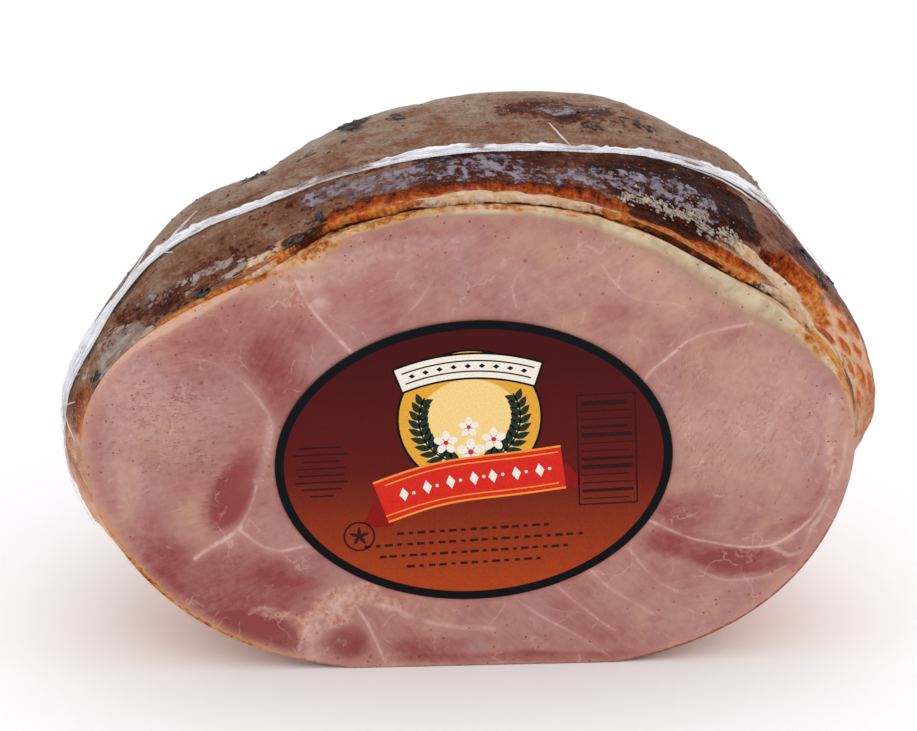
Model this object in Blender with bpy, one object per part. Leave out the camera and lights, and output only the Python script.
"""A glazed half ham, spiral sliced and sealed in clear film, with an oval sticker on its cut face.

It lies on its flat underside with the cut face towards -Y and the glazed rind on top.
Lengths are in metres and +Z is up. The origin is on the flat underside, at the middle of its width.
"""

import math

import bmesh
import bpy
import numpy as np

# ---- driving dimensions ----
FACE_HALF_WIDTH = 0.1285       # half-axes of the oval that the cut face swells out from
FACE_HALF_HEIGHT = 0.0803
FACE_CENTRE_HEIGHT = 0.0815    # middle of the cut face above the flat underside
FACE_Y = -0.060                # the cut face stands this far in front of the origin
LENGTH = 0.168                 # from the cut face to the blunt back end
BLUNTNESS = 0.30               # power of the taper: a smaller one is a blunter back end
SAG = 0.35                     # share of that power below the middle, where the meat sags flat
BACK_DRIFT = (0.012, -0.008)   # how far the back end has moved to the right and down

# Swells of the cut face's outline: direction in degrees from +X, spread in degrees, share of the radius.
OUTLINE_BASE = 0.985
OUTLINE_SWELLS = (
    (130.0, 28.0, -0.118),     # flattened upper left
    (44.0, 26.0, -0.060),      # flattened upper right
    (302.0, 34.0, 0.115),      # heavy lower right
    (240.0, 28.0, 0.080),      # heavy lower left
)

# Muscles that lift the skin behind the cut face: direction, spread, depth, spread in depth, height.
MUSCLES = (
    (150.0, 22.0, 0.045, 0.050, 0.003),
    (132.0, 22.0, 0.065, 0.055, 0.017),
    (108.0, 22.0, 0.080, 0.055, 0.010),
    (84.0, 20.0, 0.090, 0.055, 0.014),
    (60.0, 18.0, 0.080, 0.055, 0.025),
    (40.0, 18.0, 0.064, 0.050, 0.014),
    (16.0, 18.0, 0.050, 0.042, 0.012),
    (356.0, 14.0, 0.035, 0.030, 0.009),
    (174.0, 22.0, 0.042, 0.040, 0.006),
    (205.0, 22.0, 0.038, 0.036, 0.009),
    (121.0, 8.0, 0.090, 0.050, -0.005),
    (60.0, 8.0, 0.100, 0.050, -0.006),
    (200.0, 26.0, 0.115, 0.032, 0.007),
    (318.0, 24.0, 0.105, 0.034, 0.008),
)
MUSCLE_START = 0.030           # depth over which the muscles rise from the cut

RIM_ROUNDING = 0.0012          # rounded edge of the cut face
SLICE_THICKNESS = 0.0042       # the front slice
SLIT_WIDTH = 0.0008
SLIT_DEPTH = 0.0026            # how far the film dips between two slices
STEP_HEIGHT = 0.0026           # the second slice stands this proud of the front one
STEP_FADE = 0.013              # and the step is lost over this depth
FRONT_SLIT_WINDOW = (76.0, 64.0)
FLANK_SLITS = (                # depth, groove, direction of the middle, reach to each side
    (0.0170, 0.0012, 37.0, 15.0),
    (0.0260, 0.0014, 22.0, 17.0),
)

SEGMENTS = 90                  # points round each ring
BODY_RINGS = 22                # rings behind the sliced front

SEAM_WIDTH = 0.0050            # trimmed weld of the film bag
SEAM_THICKNESS = 0.0010
SEAM_CLEARANCE = 0.0006
SEAM_REACH = (-24.0, 206.0)    # it runs over the top between these two directions
SEAM_DEPTH = 0.0375            # how far behind the cut it runs, before its wanderings
SEAM_FORWARD = 0.0035
SEAM_SWING = 0.0015
SEAM_LEFT = 0.013
SEAM_RIGHT = 0.034
SEAM_SPANS = 92

LABEL_HALF_WIDTH = 0.0650
LABEL_HALF_HEIGHT = 0.0484
LABEL_CENTRE = (0.0017, 0.0725)
LABEL_TURN = math.radians(2.0)
LABEL_THICKNESS = 0.0004
LABEL_GAP = 0.0003
LABEL_POINTS = 96

MEAT_PINK = (0.44, 0.20, 0.17)
FILM_GREY = (0.62, 0.62, 0.64)
LABEL_MAROON = (0.16, 0.03, 0.02)


# ---- the shape of the skin ----
def bump(angle, centre, spread):
    """1 at the centre direction, falling smoothly to 0 on both sides; all in degrees."""
    turn = (angle - centre + 180.0) % 360.0 - 180.0
    return np.exp(-((turn / spread) ** 2))


def window(angle, centre, reach):
    """Near 1 within reach of the centre direction, and 0 outside, with soft ends."""
    turn = (angle - centre + 180.0) % 360.0 - 180.0
    return np.exp(-((turn / reach) ** 6))


def outline_share(angle):
    share = np.full_like(angle, OUTLINE_BASE)
    for centre, spread, height in OUTLINE_SWELLS:
        share += height * bump(angle, centre, spread)
    return share


def muscle_lift(angle, depth):
    lift = np.zeros_like(angle)
    for centre, spread, middle, reach, height in MUSCLES:
        lift += height * bump(angle, centre, spread) * np.exp(-(((depth - middle) / reach) ** 2))
    start = min(depth / MUSCLE_START, 1.0)
    return lift * start * start * (3.0 - 2.0 * start)


def step_lift(angle, depth):
    """The second slice stands proud over the top, and the rind falls back in line behind it."""
    behind = depth - SLICE_THICKNESS - SLIT_WIDTH
    if behind < 0.0:
        return np.zeros_like(angle)
    return STEP_HEIGHT * window(angle, *FRONT_SLIT_WINDOW) * math.exp(-behind / STEP_FADE)


def skin(angle, depth, lift=0.0):
    """Points of the skin in the directions given, at one depth behind the cut face."""
    angle = np.asarray(angle, dtype=float)
    taper = max(1.0 - (depth / LENGTH) ** 2, 0.0) ** BLUNTNESS
    drift = (1.0 - taper) ** 2
    share = outline_share(angle)
    x = FACE_HALF_WIDTH * share * np.cos(np.radians(angle))
    z = FACE_HALF_HEIGHT * share * np.sin(np.radians(angle))
    radius = np.hypot(x, z)
    lift = lift + step_lift(angle, depth) + muscle_lift(angle, depth) * min(1.0, 2.0 * taper)
    taper_z = np.where(z > 0.0, taper, taper ** SAG)
    x = x * taper + lift * x / radius + BACK_DRIFT[0] * drift
    z = z * taper_z + lift * z / radius + BACK_DRIFT[1] * drift
    z = np.maximum(FACE_CENTRE_HEIGHT + z, 0.0)
    y = np.full_like(x, FACE_Y + depth)
    return np.stack([x, y, z], axis=-1)


# ---- mesh helpers ----
def new_object(name, collection, mesh, material):
    mesh.name = name
    mesh.materials.append(material)
    mesh.shade_smooth()
    mesh.set_sharp_from_angle(angle=math.radians(50.0))
    part = bpy.data.objects.new(name, mesh)
    collection.objects.link(part)
    return part


def principled(name, color, roughness):
    material = bpy.data.materials.new(name)
    material.use_nodes = True
    shader = material.node_tree.nodes["Principled BSDF"]
    shader.inputs["Base Color"].default_value = (*color, 1.0)
    shader.inputs["Roughness"].default_value = roughness
    shader.inputs["Metallic"].default_value = 0.0
    return material


def loft(rings, closed):
    """Skin neighbouring rings of points with quads; closed rings join end to start."""
    shape = bmesh.new()
    rows = [[shape.verts.new(point) for point in ring] for ring in rings]
    count = len(rows[0])
    for front, back in zip(rows, rows[1:]):
        for i in range(count if closed else count - 1):
            j = (i + 1) % count
            shape.faces.new((front[i], front[j], back[j], back[i]))
    return shape, rows


def finish_loft(shape, name):
    bmesh.ops.triangulate(shape, faces=shape.faces)
    bmesh.ops.recalc_face_normals(shape, faces=shape.faces)
    mesh = bpy.data.meshes.new(name)
    shape.to_mesh(mesh)
    shape.free()
    return mesh


# ---- the ham in its film ----
def slit_rings(directions, depth, groove, share):
    """Four rings that dip to a groove between two slices and rise again."""
    dip = -groove * share
    half = SLIT_WIDTH / 2.0
    lips = (-half, 0.0), (-half / 3.0, 1.0), (half / 3.0, 1.0), (half, 0.0)
    return [skin(directions, depth + offset, dip * deep) for offset, deep in lips]


def ham_rings():
    directions = np.arange(SEGMENTS) * 360.0 / SEGMENTS
    rings = [
        skin(directions, 0.0, -RIM_ROUNDING),
        skin(directions, RIM_ROUNDING * 0.3, -RIM_ROUNDING * 0.3),
        skin(directions, RIM_ROUNDING),
    ]
    front_share = window(directions, *FRONT_SLIT_WINDOW)
    front_middle = SLICE_THICKNESS + SLIT_WIDTH / 2.0
    rings += slit_rings(directions, front_middle, SLIT_DEPTH, front_share)
    rings.append(skin(directions, 2.0 * SLICE_THICKNESS))
    rings.append(skin(directions, 3.0 * SLICE_THICKNESS))
    for depth, groove, centre, reach in FLANK_SLITS:
        rings += slit_rings(directions, depth, groove, window(directions, centre, reach))
        rings.append(skin(directions, depth + SLICE_THICKNESS))
    start = math.asin((FLANK_SLITS[-1][0] + 1.8 * SLICE_THICKNESS) / LENGTH)
    for i in range(BODY_RINGS):
        turn = start + (math.radians(88.6) - start) * i / (BODY_RINGS - 1)
        rings.append(skin(directions, LENGTH * math.sin(turn)))
    return rings


def make_ham(collection):
    shape, rows = loft(ham_rings(), closed=True)
    shape.faces.new(rows[0])
    pole = shape.verts.new(np.mean([vert.co for vert in rows[-1]], axis=0) + np.array((0.0, 0.0006, 0.0)))
    for i in range(SEGMENTS):
        shape.faces.new((rows[-1][i], rows[-1][(i + 1) % SEGMENTS], pole))
    mesh = finish_loft(shape, "ham_in_film")
    return new_object("ham_in_film", collection, mesh, principled("cured_meat_in_film", MEAT_PINK, 0.25))


# ---- the film's weld ----
def seam_depth(angle):
    """The weld wanders: forward over the top left, back over the right flank, well forward at the far left."""
    over_top = SEAM_FORWARD * bump(angle, 112.0, 22.0)
    knuckle = SEAM_SWING * bump(angle, 141.0, 7.0)
    left = np.clip((angle - 143.0) / 22.0, 0.0, 1.0)
    left = left * left * (3.0 - 2.0 * left)
    right = np.clip((72.0 - angle) / 86.0, 0.0, 1.0)
    return SEAM_DEPTH - over_top + knuckle - SEAM_LEFT * left + SEAM_RIGHT * right ** 0.9


def seam_section(angle):
    """Four corners of the strip where it crosses one direction: inner front, inner back, outer back, front."""
    depth = float(seam_depth(angle))
    half = SEAM_WIDTH / 2.0
    inner = SEAM_CLEARANCE
    outer = SEAM_CLEARANCE + SEAM_THICKNESS
    places = (depth - half, inner), (depth + half, inner), (depth + half, outer), (depth - half, outer)
    return [skin([angle], at, lift)[0] for at, lift in places]


def make_seam(collection):
    angles = np.linspace(SEAM_REACH[0], SEAM_REACH[1], SEAM_SPANS)
    shape, rows = loft([seam_section(angle) for angle in angles], closed=True)
    shape.faces.new(rows[0])
    shape.faces.new(rows[-1])
    mesh = finish_loft(shape, "film_seam")
    return new_object("film_seam", collection, mesh, principled("welded_film", FILM_GREY, 0.2))


# ---- the sticker ----
def make_label(collection):
    """An oval sheet: a flat outline, extruded by half its thickness to each side, stood on the cut face."""
    curve = bpy.data.curves.new("label", "CURVE")
    curve.dimensions = "2D"
    curve.fill_mode = "BOTH"
    curve.extrude = LABEL_THICKNESS / 2.0
    oval = curve.splines.new("POLY")
    oval.points.add(LABEL_POINTS - 1)
    oval.use_cyclic_u = True
    for i, point in enumerate(oval.points):
        turn = 2.0 * math.pi * i / LABEL_POINTS
        point.co = (LABEL_HALF_WIDTH * math.cos(turn), LABEL_HALF_HEIGHT * math.sin(turn), 0.0, 1.0)
    curve.materials.append(principled("printed_sticker", LABEL_MAROON, 0.3))
    part = bpy.data.objects.new("label", curve)
    part.rotation_euler = (math.radians(90.0), -LABEL_TURN, 0.0)
    front = FACE_Y - LABEL_GAP - LABEL_THICKNESS / 2.0
    part.location = (LABEL_CENTRE[0], front, LABEL_CENTRE[1])
    collection.objects.link(part)
    return part


def main():
    for old in list(bpy.data.objects):
        bpy.data.objects.remove(old, do_unlink=True)
    collection = bpy.data.collections.new("glazed_ham")
    bpy.context.scene.collection.children.link(collection)
    make_ham(collection)
    make_seam(collection)
    make_label(collection)


main()
